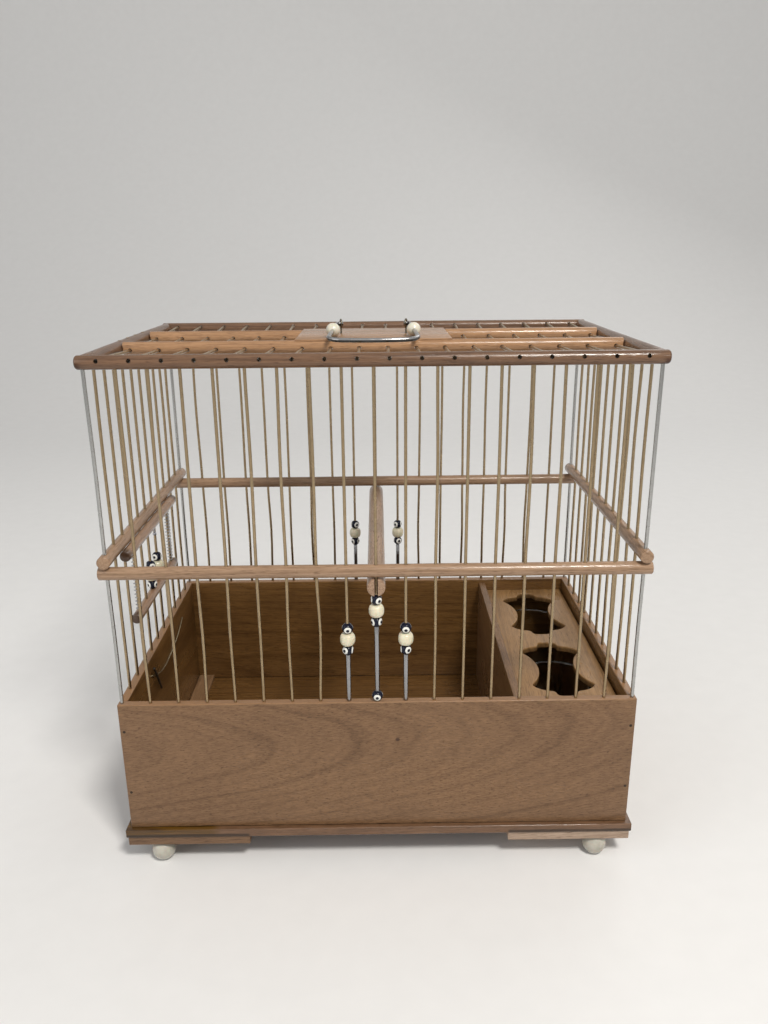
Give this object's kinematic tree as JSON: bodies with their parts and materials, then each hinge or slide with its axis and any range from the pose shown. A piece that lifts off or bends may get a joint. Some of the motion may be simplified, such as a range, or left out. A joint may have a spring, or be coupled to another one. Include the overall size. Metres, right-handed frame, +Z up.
{
  "type": "wooden bird cage",
  "caption": "Wooden cage for a small songbird, with a plank box, dowel frame, wire walls and roof, bead stacks, a side gate and a folding handle.",
  "frame": {"origin": "on the floor, under the middle of the cage", "axes": "+X to the cage's right, where the food compartment is, +Y to its back, +Z up"},
  "size_m": [0.3116, 0.1968, 0.3233],
  "materials": {
    "varnished_beech": "gloss varnish",
    "pale_wood": "raw, sanded",
    "dark_wood": "scorched and varnished",
    "brass_wire": "drawn wire",
    "steel": "bright",
    "dark_pin": "darkened",
    "cream_bead": "glossy",
    "eye_bead": "glossy",
    "glass": "clear"
  },
  "bodies": {
    "cage": {"base_board": "varnished_beech", "left_skid": "pale_wood", "right_skid": "pale_wood", "ball_feet": "cream_bead", "foot_screws": "steel", "front_board": "varnished_beech", "back_board": "varnished_beech", "left_board": "varnished_beech", "right_board": "varnished_beech", "board_brads": "steel", "floor_lath": "pale_wood", "partition_board": "varnished_beech", "cover_cleats": "pale_wood", "cover_plate": "pale_wood", "front_jar": "glass", "rear_jar": "glass", "front_mid_dowel": "varnished_beech", "back_mid_dowel": "varnished_beech", "left_mid_dowel": "varnished_beech", "right_mid_dowel": "varnished_beech", "front_top_dowel": "varnished_beech", "back_top_dowel": "varnished_beech", "left_top_dowel": "varnished_beech", "right_top_dowel": "varnished_beech", "front_roof_bar": "varnished_beech", "rear_roof_bar": "varnished_beech", "handle_board": "varnished_beech", "corner_wires": "steel", "front_wires": "brass_wire", "back_wires": "brass_wire", "left_wires": "brass_wire", "right_wires": "brass_wire", "roof_wires": "brass_wire", "perch": "varnished_beech", "centre_tubes": "steel", "centre_cream_beads": "cream_bead", "centre_eye_beads": "eye_bead", "gate_springs": "steel", "stop_bar": "dark_wood", "stop_bar_pins": "dark_pin", "left_board_catch": "brass_wire", "handle_eyes": "steel"},
    "gate": {"gate_rail": "dark_wood", "gate_wires": "brass_wire", "gate_cream_beads": "cream_bead", "gate_eye_beads": "eye_bead"},
    "bail": {"handle_bail": "steel", "handle_beads": "cream_bead"},
    "front_left_stack": {"front_left_tube": "steel", "front_left_cream_bead": "cream_bead", "front_left_eye_beads": "eye_bead"},
    "front_right_stack": {"front_right_tube": "steel", "front_right_cream_bead": "cream_bead", "front_right_eye_beads": "eye_bead"},
    "back_left_stack": {"back_left_tube": "steel", "back_left_cream_bead": "cream_bead", "back_left_eye_beads": "eye_bead"},
    "back_right_stack": {"back_right_tube": "steel", "back_right_cream_bead": "cream_bead", "back_right_eye_beads": "eye_bead"}
  },
  "joints": [
    {"name": "gate_lift", "type": "slide", "parent": "cage", "child": "gate", "axis": [0, 0, 1], "range_m": [0, 0.027], "stiffness_N_per_m": 30, "springref_m": -0.01, "deforming": ["gate_springs"]},
    {"name": "bail_swing", "type": "hinge", "parent": "cage", "child": "bail", "pos_m": [0, 0, 0.32024], "axis": [-1, 0, 0], "range_deg": [0, 171]},
    {"name": "front_left_stack_slide", "type": "slide", "parent": "cage", "child": "front_left_stack", "axis": [0, 0, 1], "range_m": [0, 0.028]},
    {"name": "front_right_stack_slide", "type": "slide", "parent": "cage", "child": "front_right_stack", "axis": [0, 0, 1], "range_m": [0, 0.028]},
    {"name": "back_left_stack_slide", "type": "slide", "parent": "cage", "child": "back_left_stack", "axis": [0, 0, 1], "range_m": [0, 0.028]},
    {"name": "back_right_stack_slide", "type": "slide", "parent": "cage", "child": "back_right_stack", "axis": [0, 0, 1], "range_m": [0, 0.028]}
  ]
}
